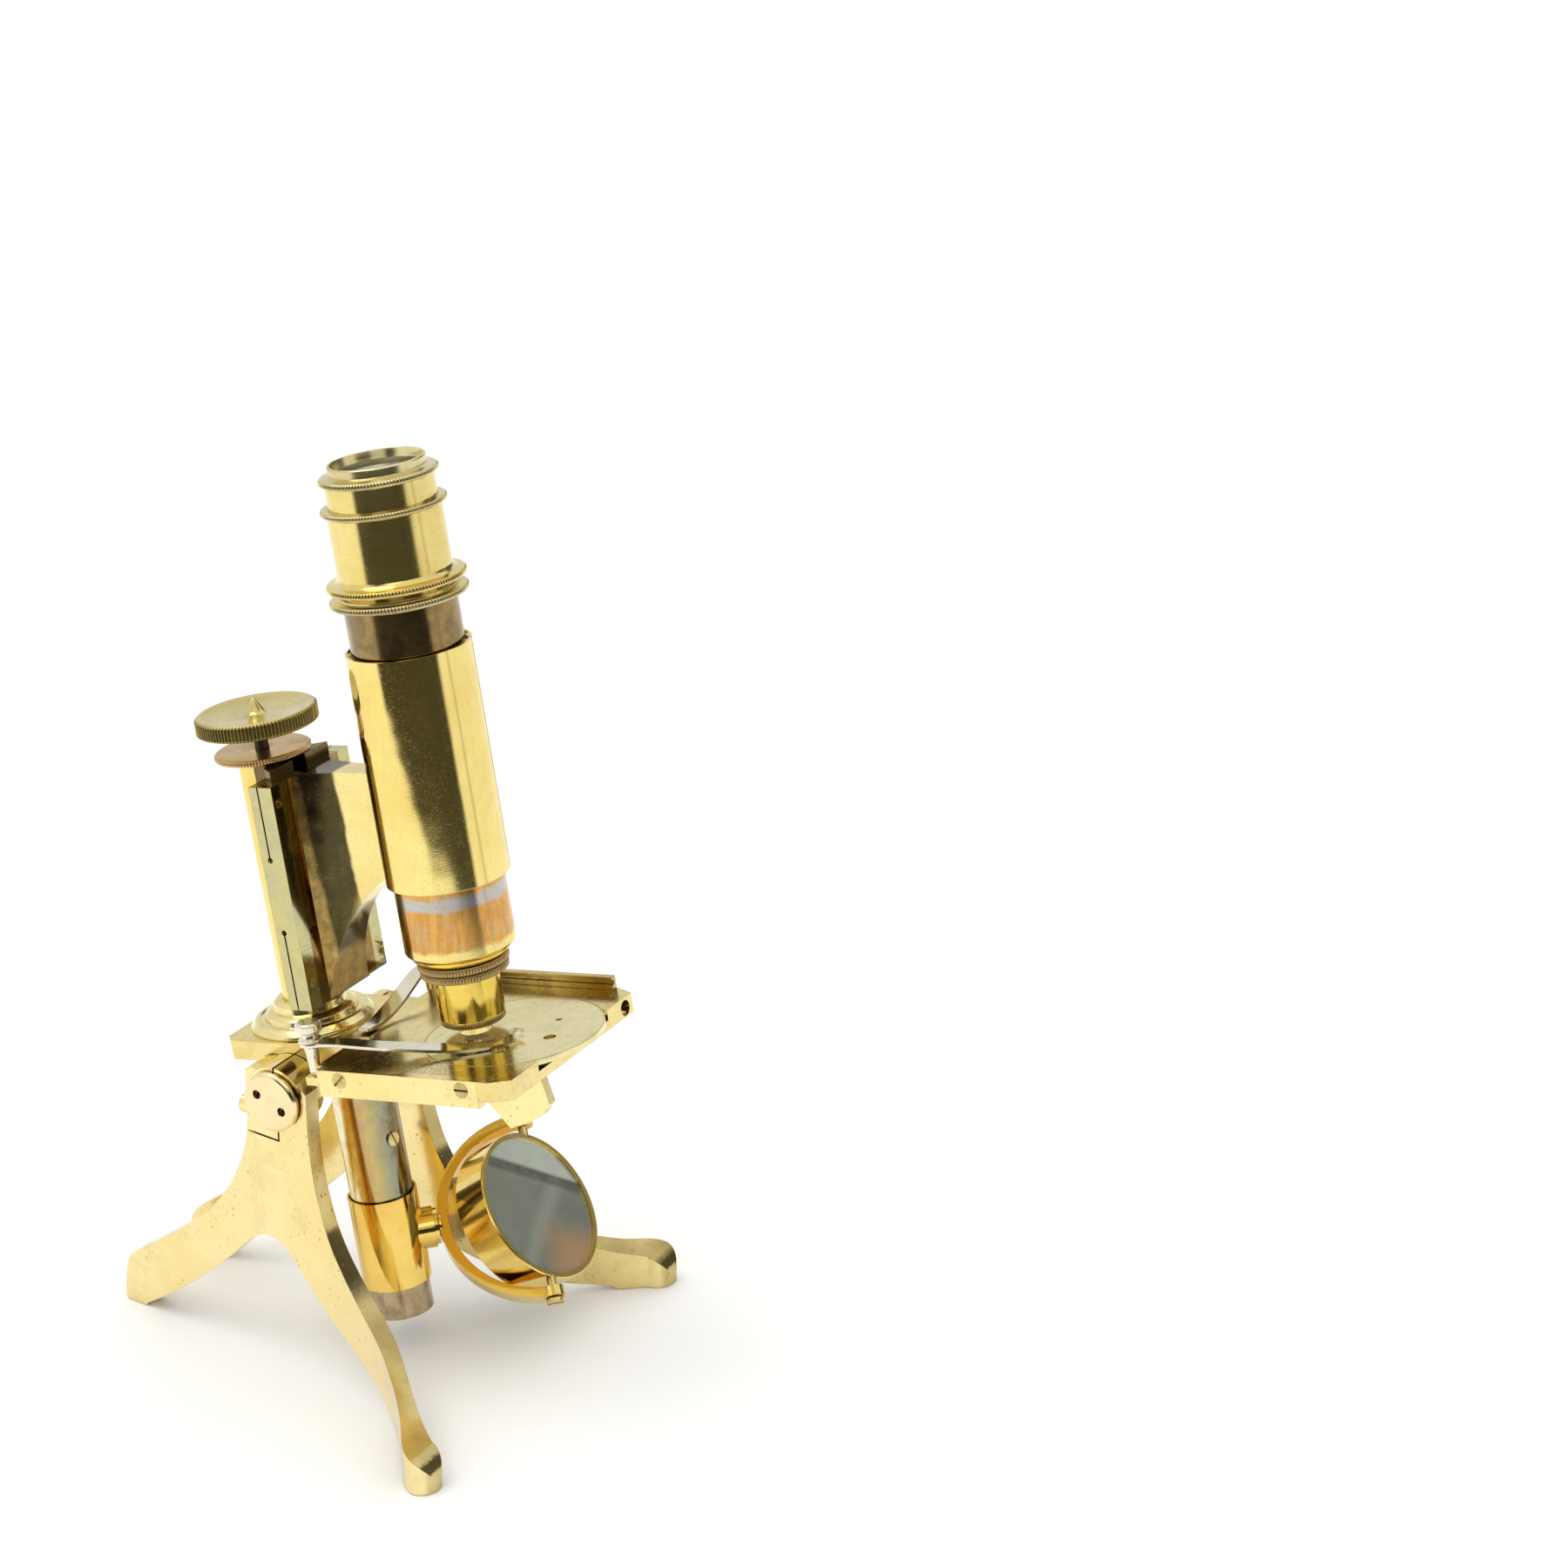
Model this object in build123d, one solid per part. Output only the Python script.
from build123d import *
import math
import os

# Antique brass compound microscope, an inclining stand on two V-set legs.
# Row frame: millimetres, +Z up, front of the stand (mirror side) at -Y, left leg at -X.
# The origin is on the ground, at the centre of the whole instrument's footprint box.
#
# Everything above the trunnion is drawn in the stage frame and then tilted:
#   x = across the stage, u = forwards (drawn as -Y), w = up the optical axis,
#   origin = optical axis on the stage top.
# Suffixes: _R radius, _T thickness, _HALF half width, _X, _U and _W places on those axes.

# ---------------------------------------------------------------- driving dimensions
TILT = 9.0                # degrees the optical axis leans back from upright
STAGE_H = 97.3            # height of the stage-frame origin above the ground
ORIGIN_Y = 35.025         # shift that centres the footprint box
RUN = 0.03                # radial running clearance

AXIS_U, AXIS_W = -47.2, -11.6      # trunnion axis
AXLE_R, AXLE_END_R, BEARING_R = 2.4, 1.9, 4.3

STAGE_HALF = 32.0         # over the side cheeks
STAGE_T = 5.3
STAGE_FRONT, STAGE_REAR = 29.5, -29.5
CLIP_X, CLIP_U = 27.4, -31.7
PILLAR_U, PILLAR_R = -51.4, 6.9
TAIL_U, TAIL_R, TAIL_BORE = -39.6, 8.4, 7.0
TAIL_W0 = -83.0
HUB_W = -16.4             # lower face of the bearing hub, where the tail tube starts

# ---------------------------------------------------------------- frames and output
os.makedirs("parts", exist_ok=True)
TO_ROW = Pos(0, -ORIGIN_Y, STAGE_H) * Rot(-TILT, 0, 0)
CENTRE = Pos(0, -ORIGIN_Y, 0)      # for the leg pieces, which are drawn upright


def one(shape):
    """The single solid of a shape, or the shape itself if it has several."""
    solids = shape.solids()
    return solids[0] if len(solids) == 1 else shape


def save(name, shape, frame=TO_ROW):
    export_step(frame * one(shape), f"parts/{name}.step")


def save_group(name, shapes, frame=TO_ROW):
    save(name, Compound(children=[one(shape) for shape in shapes]), frame)


# ---------------------------------------------------------------- shape helpers
def mirrored(shape):
    return mirror(shape, about=Plane.YZ)


def prism(points, w0, w1):
    """Polygon of (x, u) points, extruded from w0 to w1."""
    face = make_face(Polyline([(x, -u, w0) for x, u in points], close=True))
    return extrude(face, amount=w1 - w0, dir=(0, 0, 1))


def rod(r, w0, w1, x=0.0, u=0.0):
    """Upright cylinder."""
    return Pos(x, -u, (w0 + w1) / 2) * Cylinder(r, w1 - w0)


def pipe(outer_r, inner_r, w0, w1, u=0.0):
    return rod(outer_r, w0, w1, 0, u) - rod(inner_r, w0 - 1, w1 + 1, 0, u)


def cross_rod(r, x0, x1, u, w):
    """Cylinder along x."""
    return Pos((x0 + x1) / 2, -u, w) * Rot(0, 90, 0) * Cylinder(r, abs(x1 - x0))


def fore_rod(r, u0, u1, x, w):
    """Cylinder along u."""
    return Pos(x, -(u0 + u1) / 2, w) * Rot(90, 0, 0) * Cylinder(r, abs(u1 - u0))


def block(x0, x1, u0, u1, w0, w1):
    centre = Pos((x0 + x1) / 2, -(u0 + u1) / 2, (w0 + w1) / 2)
    return centre * Box(abs(x1 - x0), abs(u1 - u0), abs(w1 - w0))


def turned(profile, x=0.0, u=0.0):
    """Profile of (radius, w) points turned about an upright axis."""
    face = make_face(Polyline([(r, 0, w) for r, w in profile], close=True))
    return Pos(x, -u, 0) * revolve(face, axis=Axis.Z, revolution_arc=360)


# ---------------------------------------------------------------- legs
# Drawn upright, before centring. Each is one casting: head and rear branch in a nearly
# fore-and-aft plane, front branch bent outwards in plan to a round toe. It is the side
# outline (Y, Z) crossed with a plan band (X, Y).
tilt_rad = math.radians(TILT)
AXIS_Y = -AXIS_U * math.cos(tilt_rad) + AXIS_W * math.sin(tilt_rad)
AXIS_Z = STAGE_H + AXIS_U * math.sin(tilt_rad) + AXIS_W * math.cos(tilt_rad)
BOSS_R, BOSS_X0, BOSS_X1 = 9.1, -27.3, -17.95   # trunnion boss on the left leg head

# side outline, (Y, Z)
REAR_EDGE = [
    (55.3, 84.0), (55.2, 74.8), (55.8, 66.0), (57.3, 60.0), (59.9, 53.8), (63.6, 47.4),
    (68.1, 41.6), (74.3, 35.4), (81.2, 29.6), (88.5, 24.2), (95.0, 19.6), (100.2, 16.0)]
HEEL = [(100.2, 16.0), (103.0, 13.4), (104.6, 9.0), (105.2, 3.5), (105.2, -1.0)]
UNDERSIDE = [
    (96.4, 1.4), (88.0, 7.0), (79.3, 13.4), (71.7, 19.7), (65.1, 25.6), (59.5, 31.0),
    (55.3, 34.8), (50.7, 37.0), (46.3, 36.2), (41.7, 32.6), (37.4, 27.9), (32.6, 22.4),
    (27.0, 17.4), (19.0, 12.8), (10.4, 8.8), (1.7, 5.0), (-6.0, 2.6), (-9.4, 1.5)]
FRONT_EDGE = [
    (-23.6, -1.0), (-23.5, 3.2), (-22.2, 6.4), (-19.4, 8.9), (-15.4, 10.3), (-10.8, 11.9),
    (-6.1, 14.3), (-1.1, 16.6), (5.2, 19.9), (11.6, 23.6), (17.0, 27.6), (22.4, 33.0),
    (26.2, 38.2), (29.0, 43.8), (31.1, 50.2), (32.7, 56.8), (33.9, 66.0), (34.2, 76.0),
    (34.2, 82.4)]
HEEL_INNER, TOE_INNER = (98.6, -1.0), (-12.0, -1.0)
HEAD_FRONT, HEAD_REAR = (37.6, 84.4), (53.2, 85.2)

# plan band, (X, Y)
BAND_OUTER = [
    (-17.4, 108.0), (-18.3, 101.1), (-21.3, 80.0), (-24.3, 60.0), (-26.4, 45.0),
    (-28.3, 32.7), (-29.5, 27.0), (-32.3, 19.0), (-36.6, 10.4), (-43.2, 1.7),
    (-51.4, -6.5), (-57.4, -11.2), (-62.0, -14.6), (-64.3, -17.8)]
BAND_TOE = [
    (-64.3, -17.8), (-64.2, -21.0), (-61.6, -23.3), (-58.2, -23.4), (-55.6, -21.6),
    (-54.3, -18.4)]
BAND_INNER = [
    (-54.3, -18.4), (-50.4, -13.2), (-45.4, -7.4), (-37.8, 0.4), (-31.4, 8.2),
    (-27.0, 16.8), (-24.2, 25.4), (-22.9, 32.7), (-21.0, 45.0), (-18.6, 60.0),
    (-15.4, 80.0), (-11.8, 101.1), (-10.6, 108.0)]


def axle_rod(r, x0, x1):
    return cross_rod(r, x0, x1, -AXIS_Y, AXIS_Z)


side_edges = [
    Spline(REAR_EDGE),
    Spline(HEEL),
    Line(HEEL[-1], HEEL_INNER),
    Spline([HEEL_INNER, (97.7, 0.4), UNDERSIDE[0]]),
    Spline(UNDERSIDE),
    Spline([UNDERSIDE[-1], (-11.4, 0.4), TOE_INNER]),
    Line(TOE_INNER, FRONT_EDGE[0]),
    Spline(FRONT_EDGE),
    Line(FRONT_EDGE[-1], HEAD_FRONT),
    Line(HEAD_FRONT, HEAD_REAR),
    Line(HEAD_REAR, REAR_EDGE[0])]
side_face = make_face(Plane.YZ * (Curve() + side_edges))
side_slab = extrude(Pos(-90, 0, 0) * side_face, amount=90, dir=(1, 0, 0))
band_edges = [Spline(BAND_OUTER), Spline(BAND_TOE), Spline(BAND_INNER),
              Line(BAND_INNER[-1], BAND_OUTER[0])]
band_face = make_face(Curve() + band_edges)
casting = side_slab & (Pos(0, 0, -5) * extrude(band_face, amount=110, dir=(0, 0, 1)))
casting = casting - axle_rod(BOSS_R, -60, BOSS_X0) + axle_rod(BOSS_R, BOSS_X0, BOSS_X1)
casting = casting - axle_rod(AXLE_R, -80, 0)
casting = casting - Pos(0, 0, -20) * Box(600, 600, 40)      # trim at the ground

# split bearing cap at the rear of the head, parted by a saw cut and held by a clamp screw
KERF = 0.5
CAP_Z = 66.6
CAP_SIZE_Y, CAP_SIZE_Z = 40, 50
CLAMP_X, CLAMP_Z = -22.4, 72.8
CLAMP_R, CLAMP_HEAD_R = 1.2, 2.6
CLAMP_TIP_Y, CLAMP_SEAT_Y, CLAMP_HEAD_Y = AXIS_Y - 6, 54.4, 58.0


def cap_zone(kerf):
    """The cap's corner of the head, grown forwards and downwards by the kerf."""
    centre = Pos(-30, AXIS_Y + (CAP_SIZE_Y - kerf) / 2, CAP_Z + (CAP_SIZE_Z - kerf) / 2)
    return centre * Box(60, CAP_SIZE_Y + kerf, CAP_SIZE_Z + kerf)


def clamp_rod(r, y0, y1):
    return fore_rod(r, -y0, -y1, CLAMP_X, CLAMP_Z)


def biggest(shape):
    return max(shape.solids(), key=lambda solid: solid.volume)


cap = (casting & cap_zone(0)) - clamp_rod(CLAMP_R, CLAMP_TIP_Y, 70)
cap = biggest(cap - clamp_rod(3.0, CLAMP_SEAT_Y, 80))
leg = biggest(casting - cap_zone(KERF) - clamp_rod(CLAMP_R, CLAMP_TIP_Y, AXIS_Y + 1))
for name, piece in (("leg", leg), ("bearing_cap", cap)):
    save(name + "_left", piece, CENTRE)
    save(name + "_right", mirrored(piece), CENTRE)

clamp_screw = clamp_rod(CLAMP_HEAD_R, CLAMP_SEAT_Y, CLAMP_HEAD_Y)
clamp_screw += clamp_rod(CLAMP_R, CLAMP_TIP_Y, CLAMP_SEAT_Y + 0.2)
clamp_screw -= Pos(CLAMP_X, CLAMP_HEAD_Y, CLAMP_Z) * Box(0.7, 2.0, 8)
save_group("cap_screws", [clamp_screw, mirrored(one(clamp_screw))], CENTRE)

# ---------------------------------------------------------------- trunnion axle and nuts
axle = axle_rod(AXLE_R, BOSS_X0, -BOSS_X0)
axle += axle_rod(AXLE_END_R, BOSS_X0 - 1.0, -BOSS_X0 + 1.0)
save("trunnion_axle", axle, CENTRE)

# turned about local Y with its inner face at y = 0
NUT_R, NUT_T = 8.2, 2.3
nut_profile = [(0, 0), (7.4, 0), (NUT_R, -0.7), (NUT_R, -1.5), (7.8, -NUT_T), (0, -NUT_T)]
nut = revolve(make_face(Polyline(nut_profile, close=True)), axis=Axis.Y, revolution_arc=360)
nut = nut - Pos(0, -NUT_T, 0) * Rot(90, 0, 0) * Cylinder(1.95, 2.2)
for hole_x in (-4.1, 4.1):      # spanner holes, on a slanting line across the face
    nut = nut - Pos(hole_x, -0.5, 0) * Rot(90, 0, 0) * Cylinder(1.15, 2.0)
nut = Pos(BOSS_X0 - NUT_T, AXIS_Y, AXIS_Z) * Rot(0, 0, 90) * Rot(0, -24, 0) * nut
save_group("axle_nuts", [nut, mirrored(nut)], CENTRE)

# ---------------------------------------------------------------- stage plate
TONGUE_HALF, TONGUE_REAR, TONGUE_CHAMFER = 17.7, -68.0, 2.5
CORNER_X, CORNER_U = 29.3, 24.0                 # ends of the front corner bevels
CHEEK_T, CHEEK_H, CHEEK_FRONT, CHEEK_REAR = 2.6, 7.2, 20.5, -28.0
CHEEK_SCREWS = ((-21.4, 48), (15.7, 92))        # u, slot angle
CHEEK_SCREW_W = -2.6
CHEEK_SCREW_R, CHEEK_HEAD_R, CHEEK_HEAD_T = 1.1, 2.05, 1.1
CORNER_SCREW = (-29.4, 22.7)                    # x, u
DISC_U, DISC_R, DISC_T = 12.0, 23.36, 1.6       # diaphragm disc
DISC_PIVOT_R = 1.3
DETENT_X, DETENT_U, DETENT_R = 20.0, 6.0, 1.0
RIVET_X = 26.5                                  # fixed end of the detent spring
BRACKET_X0, BRACKET_T = -16.0, 2.7
BRACKET_X = BRACKET_X0 + BRACKET_T / 2
BRACKET_PEGS_U, BRACKET_PEG_R = (17.0, 26.0), 0.9
PILLAR_SCREW_R, PILLAR_SCREW_HEAD_R = 2.0, 3.1
PILLAR_SCREW_W = -3.6                           # top of the screw head
BELOW = -STAGE_T - 1                            # start of cuts from underneath

half_outline = [
    (STAGE_HALF, STAGE_REAR), (TONGUE_HALF, STAGE_REAR),
    (TONGUE_HALF, TONGUE_REAR + TONGUE_CHAMFER), (TONGUE_HALF - TONGUE_CHAMFER, TONGUE_REAR)]
stage = prism(
    [(-STAGE_HALF, STAGE_REAR), (-STAGE_HALF, CORNER_U), (-CORNER_X, STAGE_FRONT),
     (CORNER_X, STAGE_FRONT), (STAGE_HALF, CORNER_U)] + half_outline
    + [(-x, u) for x, u in reversed(half_outline[1:])], -STAGE_T, 0)
for side in (-1, 1):
    stage -= block(side * (STAGE_HALF - CHEEK_T), side * (STAGE_HALF + 2),
                   STAGE_REAR - 1, CHEEK_FRONT, BELOW, 1)
    # ear for the clip post, and its pivot hole
    stage += block(side * 24.6, side * 30.2, STAGE_REAR - 3.7, STAGE_REAR + 0.5, -STAGE_T, -3.0)
    stage -= rod(1.2, BELOW, -2.9, side * CLIP_X, CLIP_U)
    for u, _ in CHEEK_SCREWS:
        stage -= cross_rod(CHEEK_SCREW_R, side * 24.0, side * (STAGE_HALF + 1), u, CHEEK_SCREW_W)
stage -= rod(1.0, -3.5, 1, *CORNER_SCREW) + rod(1.5, -0.8, 1, *CORNER_SCREW)
stage -= rod(DISC_R + 0.06, -DISC_T - 0.05, 1, 0, DISC_U)            # disc recess
stage -= block(-17.0, 17.0, 25.5, STAGE_FRONT + 1, -DISC_T - 1.2, 1)
stage -= rod(9.5, BELOW, 1)                                          # light aperture
stage -= rod(DISC_PIVOT_R, BELOW, 1, 0, DISC_U)
stage -= (rod(PILLAR_SCREW_R, BELOW, 1, 0, PILLAR_U)
          + rod(PILLAR_SCREW_HEAD_R, BELOW, PILLAR_SCREW_W, 0, PILLAR_U))
# round socket in the front edge, and a small hole down into it
stage -= fore_rod(2.1, STAGE_FRONT - 9, STAGE_FRONT + 1, 25.6, -2.9)
stage -= rod(1.1, -2.9, 1, 26.6, STAGE_FRONT - 4.2)
stage -= rod(DETENT_R + 0.05, BELOW, 1, DETENT_X, DETENT_U)
stage -= rod(DETENT_R, BELOW, -3.2, RIVET_X, DETENT_U)
for u in BRACKET_PEGS_U:
    stage -= rod(BRACKET_PEG_R, BELOW, -3.0, BRACKET_X, u)
save("stage_plate", stage)

# ---------------------------------------------------------------- cheeks and stage fittings
cheek = block(-STAGE_HALF, -STAGE_HALF + CHEEK_T, CHEEK_REAR, CHEEK_FRONT, -CHEEK_H, 0)
for u, _ in CHEEK_SCREWS:
    cheek -= (cross_rod(CHEEK_SCREW_R, -STAGE_HALF - 1, -STAGE_HALF + CHEEK_T + 1,
                        u, CHEEK_SCREW_W)
              + cross_rod(CHEEK_HEAD_R, -STAGE_HALF - 1, -STAGE_HALF + CHEEK_HEAD_T,
                          u, CHEEK_SCREW_W))
save("cheek_left", cheek)
save("cheek_right", mirrored(cheek))


def cheek_screw(side, u, slot_angle):
    head_x = side * (STAGE_HALF + 0.08)
    screw = cross_rod(CHEEK_HEAD_R, side * (STAGE_HALF - CHEEK_HEAD_T), head_x, u, CHEEK_SCREW_W)
    screw += cross_rod(CHEEK_SCREW_R, side * 24.6, side * (STAGE_HALF - 1.0), u, CHEEK_SCREW_W)
    return screw - Pos(head_x, -u, CHEEK_SCREW_W) * Rot(slot_angle, 0, 0) * Box(1.2, 0.5, 6)


save_group("cheek_screws", [cheek_screw(side, *place) for side in (-1, 1)
                            for place in CHEEK_SCREWS])

corner_screw = rod(1.5, -0.8, 0.2, *CORNER_SCREW) + rod(1.0, -3.5, -0.7, *CORNER_SCREW)
corner_screw -= (Pos(CORNER_SCREW[0], -CORNER_SCREW[1], 0.25) * Rot(0, 0, 30)
                 * Box(5, 0.45, 0.8))
save("corner_screw", corner_screw)

# fence on the right edge, with a groove in its inner face
save("object_fence", block(29.9, 31.9, -28.6, 23.8, 0, 3.6) - block(29.0, 30.9, -30, 25, 1.5, 2.7))

# thin plate hanging under the left front of the stage, (u, w)
BRACKET_OUTLINE = [(5.6, -5.3), (28.9, -5.3), (30.3, -12.2), (27.8, -15.2), (22.6, -17.9),
                   (17.2, -19.7), (12.1, -13.6)]
bracket_face = make_face(Polyline([(BRACKET_X0, -u, w) for u, w in BRACKET_OUTLINE], close=True))
bracket = extrude(bracket_face, amount=BRACKET_T, dir=(1, 0, 0))
for u in BRACKET_PEGS_U:
    bracket += rod(BRACKET_PEG_R, -6.0, -3.0, BRACKET_X, u)
save("substage_bracket", bracket)

# ---------------------------------------------------------------- diaphragm disc
# let in flush with the stage top and overhanging the front edge
HOLE_PITCH_R = 12.0
DISC_HOLES = ((270, 4.2), (218, 3.2), (166.5, 2.4), (99.4, 1.6), (39.7, 0.8))   # angle, radius
disc = rod(DISC_R, -DISC_T, 0, 0, DISC_U)
for angle, hole_r in DISC_HOLES:
    turn = math.radians(angle)
    disc -= rod(hole_r, -3, 1, HOLE_PITCH_R * math.cos(turn),
                DISC_U + HOLE_PITCH_R * math.sin(turn))
disc -= rod(DISC_PIVOT_R + 0.05, -3, 1, 0, DISC_U) + rod(2.35, -0.7, 1, 0, DISC_U)
save("diaphragm_disc", disc)

pivot = rod(DISC_PIVOT_R, -STAGE_T, -0.7, 0, DISC_U) + rod(2.3, -0.68, -0.02, 0, DISC_U)
pivot += rod(DISC_PIVOT_R, -0.8, -0.1, 0, DISC_U)
pivot -= Pos(0, -DISC_U, 0) * Rot(0, 0, 25) * Box(6, 0.5, 0.6)
save("disc_pivot_screw", pivot)

spring = block(18.0, 28.5, DETENT_U - 2, DETENT_U + 2, -STAGE_T - 0.5, -STAGE_T)
spring += rod(DETENT_R, -STAGE_T - 0.2, -DISC_T - 0.12, DETENT_X, DETENT_U)
spring += rod(DETENT_R, -STAGE_T - 0.2, -3.2, RIVET_X, DETENT_U)
save("detent_spring", spring)

# ---------------------------------------------------------------- trunnion bearing and tail
# a cross tube with a hub and a spigot that carry the tail tube
bearing = cross_rod(BEARING_R, -17.9, 17.9, AXIS_U, AXIS_W)
bearing += rod(TAIL_R, HUB_W, -STAGE_T, 0, TAIL_U)
bearing += block(-8.0, 8.0, AXIS_U - BEARING_R, TAIL_U, -14.0, -STAGE_T)
bearing += rod(TAIL_BORE, -22.0, HUB_W + 0.1, 0, TAIL_U)
bearing -= cross_rod(AXLE_R + RUN, -40, 40, AXIS_U, AXIS_W)
save("trunnion_bearing", bearing)

TAIL_SCREW_R, TAIL_HEAD_R, TAIL_SCREW_TOP = 1.2, 1.9, 9.0
# screw axis: out from the tail axis, forwards and slightly left
TAIL_SCREW_FRAME = (Pos(0, -TAIL_U, -32.4)
                    * Rot(0, 0, math.degrees(math.atan2(-0.975, -0.22))))


def tail_rod(r, reach0, reach1):
    middle = Pos((reach0 + reach1) / 2, 0, 0)
    return TAIL_SCREW_FRAME * middle * Rot(0, 90, 0) * Cylinder(r, reach1 - reach0)


tail = pipe(TAIL_R, TAIL_BORE, TAIL_W0, HUB_W, TAIL_U)
tail += pipe(7.2, 3.0, TAIL_W0, TAIL_W0 + 3.0, TAIL_U)
save("tail_tube", tail - tail_rod(TAIL_SCREW_R, 5, 12))

tail_shank = tail_rod(TAIL_SCREW_R, 6.4, 8.5)
tail_screw = tail_shank + tail_rod(TAIL_HEAD_R, 8.35, TAIL_SCREW_TOP)
# the head is hollowed to sit on the tube, then the shank is put back
tail_screw = tail_screw - rod(TAIL_R, -40, -20, 0, TAIL_U) + tail_shank
tail_screw -= TAIL_SCREW_FRAME * Pos(TAIL_SCREW_TOP, 0, 0) * Rot(20, 0, 0) * Box(0.7, 0.5, 5)
save("tail_screw", tail_screw)

# ---------------------------------------------------------------- stage clips
CLIP_SPRING_T = 0.8
CLIP_PIN_R = 1.3
CLIP_POST = [(0, -3.0), (1.35, -3.0), (1.6, -2.6), (2.0, 4.9), (0, 4.9)]
CLIP_NUT = [(CLIP_PIN_R, 6.0), (3.1, 6.0), (3.1, 6.5), (2.0, 7.0), (1.9, 8.0), (3.4, 9.0),
            (3.4, 10.6), (2.9, 11.2), (0, 11.5), (0, 6.6), (CLIP_PIN_R, 6.6)]
# spring centre lines: x, u, w, half width
CLIP_LEFT = [       # forwards over the stage, curved in plan
    (-27.4, -29.8, 5.45, 2.4), (-25.6, -22.0, 5.1, 2.3), (-21.4, -11.0, 3.2, 2.5),
    (-16.8, -1.0, 1.5, 2.6), (-13.0, 8.0, 0.75, 2.5), (-8.6, 13.8, 0.75, 2.2),
    (-4.2, 17.0, 1.3, 1.4)]
CLIP_RIGHT = [      # across the rear of the stage
    (25.6, -31.6, 5.45, 2.4), (18.0, -31.0, 4.7, 2.3), (9.0, -30.1, 2.6, 2.5),
    (1.5, -29.8, 1.1, 2.5), (-3.6, -29.6, 0.75, 2.2), (-8.2, -29.4, 1.2, 1.4)]


def clip_post(x):
    post = turned(CLIP_POST, x, CLIP_U) + rod(1.16, -STAGE_T, -2.5, x, CLIP_U)
    post += rod(CLIP_PIN_R, 4.5, 6.6, x, CLIP_U)
    return post + turned(CLIP_NUT, x, CLIP_U)


def clip_spring(stations, x):
    """A flat ribbon lofted along the stations, with a drilled eye round the post."""
    points = [Vector(px, -u, w) for px, u, w, _ in stations]
    last = len(points) - 1
    sections = []
    for i, point in enumerate(points):
        along = (points[min(i + 1, last)] - points[max(i - 1, 0)]).normalized()
        across = Vector(0, 0, 1).cross(along).normalized()
        section = Plane(origin=point, x_dir=across, z_dir=along)
        sections.append(section * Rectangle(2 * stations[i][3], CLIP_SPRING_T))
    ribbon = loft(sections, ruled=False) + rod(3.0, 5.0, 5.9, x, CLIP_U)
    return ribbon - rod(CLIP_PIN_R, 3, 8, x, CLIP_U)


for hand, x, stations in (("left", -CLIP_X, CLIP_LEFT), ("right", CLIP_X, CLIP_RIGHT)):
    save("clip_post_" + hand, clip_post(x))
    save("clip_spring_" + hand, clip_spring(stations, x))

# ---------------------------------------------------------------- pillar and fine focus
PILLAR_BORE, PILLAR_TOP = 4.6, 73.5
PILLAR_SLOT_HALF, PILLAR_SLOT_W0 = 2.75, 48.0
FOCUS_SCREW_R = 1.8
# dovetail of the slide: half widths at its rear and front faces
PLATE_REAR = -44.5
DOVE_REAR_HALF, DOVE_FRONT_HALF, DOVE_FRONT = 9.7, 12.9, -40.3
DOVE_GAP = 0.05

save("pillar_base", turned(
    [(PILLAR_R, 0), (16.35, 0), (16.35, 0.7), (15.0, 2.2), (13.9, 2.4), (13.6, 1.9),
     (12.4, 2.0), (12.1, 3.4), (10.9, 4.2), (9.8, 4.4), (9.5, 6.4), (8.4, 7.2),
     (PILLAR_R, 7.2)], 0, PILLAR_U))

pillar = rod(PILLAR_R, 0, PILLAR_TOP, 0, PILLAR_U)
pillar -= rod(PILLAR_BORE, 11, PILLAR_TOP + 1, 0, PILLAR_U)
pillar -= rod(PILLAR_SCREW_R, -1, 8, 0, PILLAR_U)
pillar -= block(-PILLAR_SLOT_HALF, PILLAR_SLOT_HALF, PILLAR_U, PILLAR_U + 12,
                PILLAR_SLOT_W0, PILLAR_TOP + 1)
save("pillar", pillar)
save("pillar_screw", rod(PILLAR_SCREW_HEAD_R, -STAGE_T, PILLAR_SCREW_W, 0, PILLAR_U)
     + rod(PILLAR_SCREW_R, PILLAR_SCREW_W - 0.2, 7.5, 0, PILLAR_U))

slide_half = [(DOVE_FRONT_HALF - DOVE_GAP, DOVE_FRONT - DOVE_GAP),
              (DOVE_REAR_HALF - DOVE_GAP, PLATE_REAR), (8.0, -45.0), (8.0, -49.0)]
slide = prism(slide_half + [(-x, u) for x, u in reversed(slide_half)], 7.6, 72.8)
slide -= rod(PILLAR_R, 0, 80, 0, PILLAR_U)
slide -= block(-PILLAR_SLOT_HALF, PILLAR_SLOT_HALF, -50, -38, PILLAR_SLOT_W0, 80)
save("pillar_slide", slide)

collar = turned(
    [(1.88, 72.0), (1.88, 75.0), (12.0, 75.2), (12.6, 74.6), (12.6, 73.9),
     (12.0, PILLAR_TOP), (4.55, PILLAR_TOP), (4.55, 72.0)], 0, PILLAR_U)
save("pillar_collar", collar - block(-2.8, 2.8, PILLAR_U + 2.5, PILLAR_U + 12, 70, PILLAR_TOP))

save("focus_knob", turned(
    [(FOCUS_SCREW_R, 80.2), (5.6, 80.2), (5.9, 80.9), (14.9, 80.9), (15.96, 81.4),
     (15.96, 84.9), (15.2, 85.6), (13.0, 85.3), (9.0, 84.6), (5.0, 84.4), (3.0, 84.6),
     (2.3, 85.3), (0.5, 88.3), (0, 88.6), (0, 83.0), (FOCUS_SCREW_R, 83.0)], 0, PILLAR_U))
save("focus_screw", rod(FOCUS_SCREW_R, 28, 83.0, 0, PILLAR_U))

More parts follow.
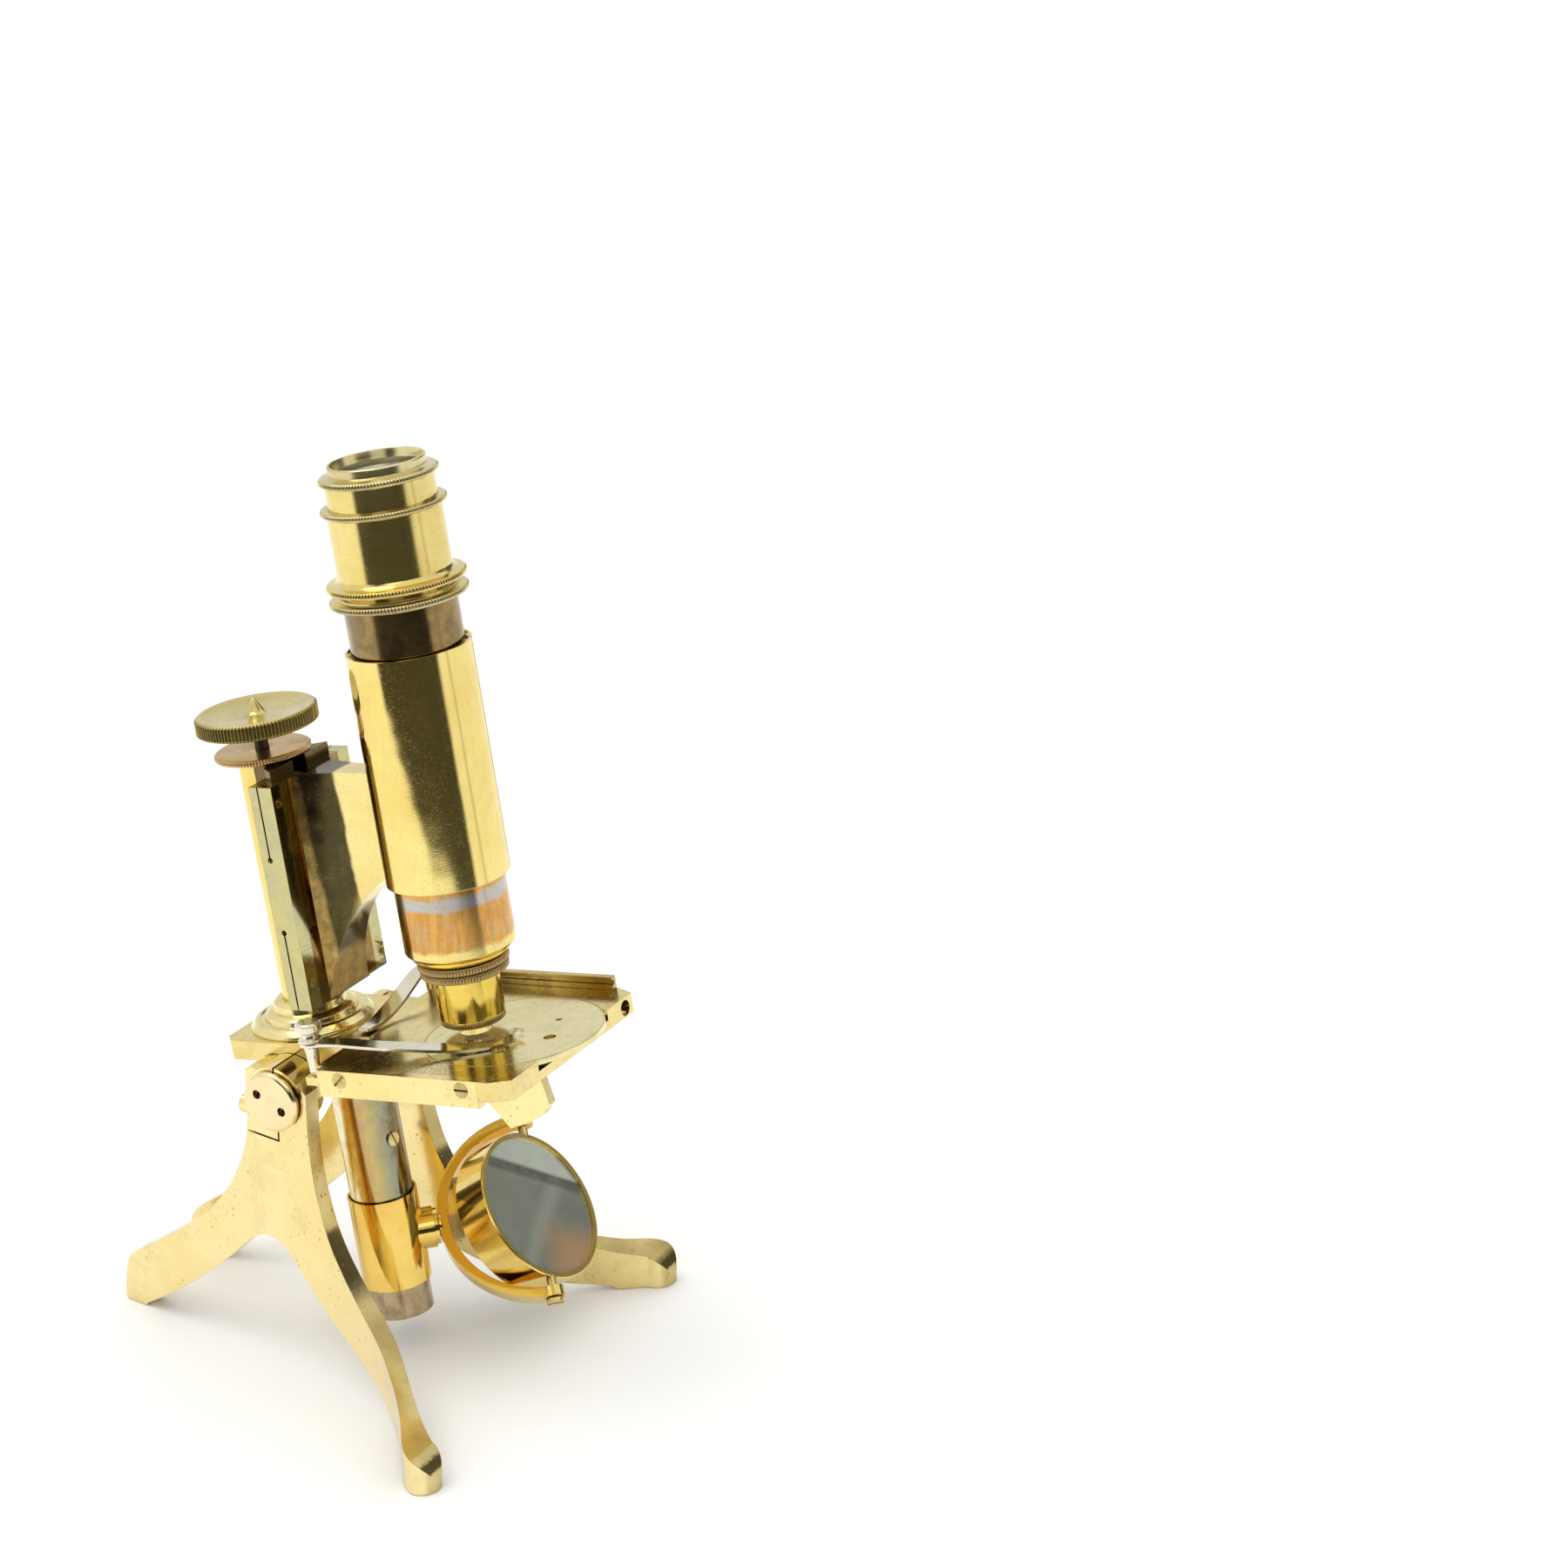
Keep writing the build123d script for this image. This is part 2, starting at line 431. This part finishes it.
# ---------------------------------------------------------------- limb and slide nut
PLATE_HALF, PLATE_FRONT, PLATE_W0, PLATE_W1 = 17.2, -37.5, 9.5, 70.2
WEB_HALF, WEB_FRONT = 3.9, -12.0
FLARE_U, FLARE_R, FLARE_STEPS = -24.0, 22.0, 12     # the web widens into the plate
SLEEVE_R, SLEEVE_W0, SLEEVE_W1 = 16.0, 42.2, 103.2
SLIT_U, SLIT_X0, SLIT_END_R = -41.8, 13.4, 0.75     # saw cuts that free the gibs
SLITS = ((50.6, 50.6, 90), (30.8, 0, 30.8))         # inner end, w0, w1
GIB_SCREWS = [(side * 14.8, w) for side in (-1, 1) for w in (16.4, 65.4)]
GIB_SCREW_R, GIB_HEAD_R = 0.8, 1.35

limb = block(-PLATE_HALF, PLATE_HALF, PLATE_REAR, PLATE_FRONT, PLATE_W0, PLATE_W1)
limb -= prism(
    [(-DOVE_REAR_HALF, PLATE_REAR - 1), (-DOVE_REAR_HALF, PLATE_REAR),
     (-DOVE_FRONT_HALF, DOVE_FRONT), (DOVE_FRONT_HALF, DOVE_FRONT),
     (DOVE_REAR_HALF, PLATE_REAR), (DOVE_REAR_HALF, PLATE_REAR - 1)], 0, 90)
flare = []
for i in range(FLARE_STEPS + 1):
    run = (FLARE_U - PLATE_FRONT) * i / FLARE_STEPS
    flare.append((WEB_HALF + FLARE_R - math.sqrt(FLARE_R ** 2 - run ** 2), run - FLARE_U, 0))
flare_left = [(-x, y, 0) for x, y, _ in flare]
web_left, web_right = (-WEB_HALF, -WEB_FRONT, 0), (WEB_HALF, -WEB_FRONT, 0)
web_edges = [
    Line(web_left, flare_left[0]), Spline(flare_left), Line(flare_left[-1], flare[-1]),
    Spline(flare[::-1]), Line(flare[0], web_right), Line(web_right, web_left)]
web = Pos(0, 0, PLATE_W0) * extrude(
    make_face(Curve() + web_edges), amount=PLATE_W1 - PLATE_W0, dir=(0, 0, 1))
web -= cross_rod(44.0, -30, 30, 6.2, 4.3)           # arched underside
web -= rod(SLEEVE_R, 0, 120)
limb = limb + web
for side in (-1, 1):
    for end_w, w0, w1 in SLITS:
        limb -= block(side * SLIT_X0, side * 20, SLIT_U - 0.22, SLIT_U + 0.22, w0, w1)
    for end_w, w0, w1 in SLITS:
        limb -= cross_rod(SLIT_END_R, side * SLIT_X0, side * 20, SLIT_U, end_w)
for x, w in GIB_SCREWS:
    limb -= fore_rod(GIB_SCREW_R, PLATE_FRONT - 5, PLATE_FRONT + 1, x, w)
    limb -= fore_rod(GIB_HEAD_R, PLATE_FRONT - 0.8, PLATE_FRONT + 0.8, x, w)
save("limb", limb)


def gib_screw(x, w):
    screw = fore_rod(GIB_HEAD_R, PLATE_FRONT - 0.8, PLATE_FRONT, x, w)
    screw += fore_rod(GIB_SCREW_R, PLATE_FRONT - 4.8, PLATE_FRONT - 0.4, x, w)
    return screw - Pos(x, -PLATE_FRONT, w) * Rot(0, 35, 0) * Box(4, 0.7, 0.4)


save_group("gib_screws", [gib_screw(x, w) for x, w in GIB_SCREWS])
save("slide_nut", block(-2.6, 2.6, PILLAR_U - 3.0, DOVE_FRONT, 54.0, 62.0)
     - rod(1.85, 53.0, 63.0, 0, PILLAR_U))

# ---------------------------------------------------------------- body sleeve
TUBE_R = 14.36


def saw_cut(x, w, length):
    """Cut down the right-hand front of the sleeve and its lining."""
    return Rot(0, 0, -64) * (Pos(x, 0, w) * Box(4, 0.55, length))


sleeve = pipe(SLEEVE_R, 15.0, SLEEVE_W0, SLEEVE_W1) - rod(15.3, SLEEVE_W1 - 0.8, SLEEVE_W1 + 1)
sleeve -= saw_cut(15.5, (SLEEVE_W0 + SLEEVE_W1) / 2, SLEEVE_W1 - SLEEVE_W0 + 2)
save("body_sleeve", sleeve)
save("sleeve_lining", pipe(14.98, TUBE_R + RUN, SLEEVE_W0 + 0.4, SLEEVE_W1 - 0.9)
     - saw_cut(15.0, 70, 80))

# ---------------------------------------------------------------- tubes and optics
TUBE_BORE, DRAW_BORE, EYE_BORE = 13.34, 12.75, 12.9
NOSE_BORE = 6.0
HEAD_R, HEAD_BORE = 14.39, 13.74
TUBE_TOP, DRAW_TOP = 114.8, 119.0
save("body_tube", pipe(TUBE_R, TUBE_BORE, 23.6, TUBE_TOP))
save("draw_tube", pipe(13.30, DRAW_BORE, 66.0, DRAW_TOP))
save("eyepiece_barrel", pipe(13.70, EYE_BORE, 123.0, 146.0))

# pieces turned about the optical axis, (radius, w)
TURNED_PIECES = {
    "body_collar": [
        (TUBE_BORE, TUBE_TOP), (TUBE_R + 0.3, TUBE_TOP), (TUBE_R + 0.6, 115.2), (17.1, 115.5),
        (17.52, 115.9), (17.52, 116.7), (17.1, 117.1), (15.2, 117.4), (15.2, 118.0),
        (TUBE_BORE, 118.0)],
    "nosepiece": [
        (NOSE_BORE, 20.5), (9.6, 20.5), (10.9, 20.7), (12.2, 21.1), (13.0, 21.9), (13.0, 22.4),
        (13.5, 22.7), (TUBE_R, 23.6), (13.2, 23.6), (12.0, 24.4), (NOSE_BORE, 24.4)],
    "nose_ring": [
        (NOSE_BORE, 18.4), (11.4, 18.4), (11.9, 18.8), (11.9, 20.0), (11.4, 20.4),
        (10.0, 20.5), (NOSE_BORE, 20.5)],
    "objective_ring": [
        (NOSE_BORE, 16.1), (11.0, 16.1), (11.5, 16.5), (11.5, 17.7), (11.0, 18.1),
        (10.0, 18.4), (NOSE_BORE, 18.4)],
    "objective_barrel": [
        (NOSE_BORE, 4.2), (8.3, 4.2), (8.56, 4.6), (8.56, 15.8), (8.4, 16.1),
        (NOSE_BORE, 16.1)],
    "objective_tip": [
        (3.2, 2.6), (7.7, 2.6), (8.42, 3.0), (8.42, 3.9), (8.1, 4.2), (NOSE_BORE, 4.2),
        (NOSE_BORE, 3.9), (3.2, 3.9)],
    "objective_lens": [
        (0, 3.2), (2.0, 3.15), (3.2, 3.0), (3.2, 3.9), (4.4, 3.9), (4.4, 6.4), (2.6, 6.8),
        (0, 7.0)],
    "draw_head": [
        (DRAW_BORE, DRAW_TOP), (15.0, DRAW_TOP), (15.2, 119.2), (17.2, 119.5), (17.56, 119.9),
        (17.56, 120.7), (17.2, 121.1), (15.3, 121.4), (HEAD_R + 0.3, 122.0), (HEAD_R, 122.6),
        (HEAD_R, 138.3), (HEAD_BORE, 138.3), (HEAD_BORE, 121.5), (DRAW_BORE, 121.5)],
    "draw_rim": [
        (HEAD_BORE, 138.3), (HEAD_R, 138.3), (15.4, 138.7), (15.83, 139.0), (15.83, 139.7),
        (15.4, 140.0), (HEAD_BORE, 140.1)],
    "eyepiece_cap": [
        (11.6, 145.2), (EYE_BORE, 145.2), (EYE_BORE, 146.0), (13.7, 146.0), (14.5, 146.2),
        (14.96, 146.6), (14.96, 147.4), (14.5, 147.8), (13.0, 148.1), (12.2, 148.5),
        (12.37, 150.4), (12.1, 150.7), (11.6, 150.7), (11.2, 149.0), (11.0, 148.4),
        (11.6, 147.0)],
    "eye_lens": [
        (0, 146.1), (11.5, 146.2), (11.5, 146.9), (8.0, 147.8), (4.0, 148.3), (0, 148.4)],
    "field_lens": [(0, 124.2), (12.85, 124.2), (12.85, 125.0), (8.0, 126.6), (0, 127.4)],
}
for name, profile in TURNED_PIECES.items():
    save(name, turned(profile))

# ---------------------------------------------------------------- mirror on the tail
MIRROR_W, MIRROR_REACH = -61.7, 40.0    # mirror centre: height, and reach from the tail axis
swing = math.radians(37.0)              # the arm is swung towards +X
roll = math.radians(45.9)               # the gimbal is rolled about its pin
cell_turn = math.radians(133.5)         # the cell is turned about its pivots
GIMBAL_R, GIMBAL_INNER_R, GIMBAL_T = 26.8, 24.0, 4.6
PIN_R, PIN_HEAD_R, PIN_END = 2.0, 3.2, 14.2
LINING_R = 8.73
GLASS_R = 20.0

arm_dir = Vector(math.sin(swing), -math.cos(swing), 0)      # from the tail axis to the mirror
level_dir = Vector(math.cos(swing), math.sin(swing), 0)
pivot_dir = Vector(0, 0, 1) * math.cos(roll) + level_dir * math.sin(roll)
glass_dir = pivot_dir.cross(arm_dir) * math.cos(cell_turn) + arm_dir * math.sin(cell_turn)
tail_centre = Vector(0, -TAIL_U, MIRROR_W)
mirror_centre = tail_centre + arm_dir * MIRROR_REACH


def aimed_rod(start, direction, r, reach0, reach1):
    plane = Plane(origin=start + direction * reach0, z_dir=direction)
    return extrude(plane * Circle(r), amount=reach1 - reach0)


def arm_rod(r, reach0, reach1):
    return aimed_rod(tail_centre, arm_dir, r, reach0, reach1)


save("sleeve_lining_tail", pipe(LINING_R, TAIL_R + RUN, -73.6, -49.6, TAIL_U))

mirror_sleeve = rod(9.3, -74.3, -48.9, 0, TAIL_U) + arm_rod(5.6, 0, 12.2)
mirror_sleeve += arm_rod(4.9, 12.2, 13.2)
mirror_sleeve -= rod(LINING_R + RUN, -80, -40, 0, TAIL_U)
mirror_sleeve -= arm_rod(PIN_R + RUN, 0, 20)
save("mirror_sleeve", mirror_sleeve)
save("gimbal_pin", arm_rod(PIN_R, 9.2, PIN_END) + arm_rod(PIN_HEAD_R, 13.25, PIN_END))

# half ring: local x towards the open side, local y along the pivots
gimbal_plane = Plane(origin=mirror_centre, x_dir=arm_dir, z_dir=arm_dir.cross(pivot_dir))
gimbal = gimbal_plane * (extrude(Circle(GIMBAL_R), amount=GIMBAL_T / 2, both=True)
                         - extrude(Circle(GIMBAL_INNER_R), amount=GIMBAL_T, both=True)
                         - Pos(30, 0, 0) * Box(60, 80, 20))
for side in (-1, 1):
    gimbal += gimbal_plane * (Pos(0, side * (GIMBAL_R + GIMBAL_INNER_R) / 2, 0)
                              * Rot(90, 0, 0) * Cylinder(3.0, GIMBAL_R - GIMBAL_INNER_R + 0.2))
gimbal -= aimed_rod(mirror_centre, pivot_dir, 1.33, -40, 40)
gimbal -= arm_rod(PIN_HEAD_R, 0, PIN_END)
save("gimbal", gimbal)


def gimbal_screw(direction):
    head_end = 28.2
    screw = aimed_rod(mirror_centre, direction, 1.3, 20.4, 27.4)
    screw += aimed_rod(mirror_centre, direction, 2.3, 27.05, head_end)
    slot_plane = Plane(origin=mirror_centre + direction * head_end, x_dir=arm_dir,
                       z_dir=direction)
    return screw - slot_plane * Box(6, 0.5, 1.0)


save_group("gimbal_screws", [gimbal_screw(pivot_dir * side) for side in (-1, 1)])

cell_plane = Plane(origin=mirror_centre, x_dir=pivot_dir, z_dir=glass_dir)
cell = cell_plane * turned(
    [(0, -4.6), (20.4, -4.6), (20.4, -9.0), (20.8, -9.4), (21.2, -9.0), (21.2, 0.9),
     (20.9, 1.2), (19.7, 1.2), (19.7, 0.4), (GLASS_R, 0.0), (GLASS_R, -1.6), (0, -1.6)])
for side in (-1, 1):
    cell -= aimed_rod(mirror_centre, pivot_dir * side, 1.34, 20.35, 30)
save("mirror_cell", cell)
save("mirror_plane", cell_plane * turned(
    [(0, -1.6), (GLASS_R, -1.6), (GLASS_R, 0.0), (19.7, 0.4), (0, 0.4)]))
save("mirror_concave", cell_plane * turned(
    [(0, -5.2), (6, -5.3), (12, -5.7), (17, -6.4), (20.4, -7.2), (20.4, -4.6), (0, -4.6)]))
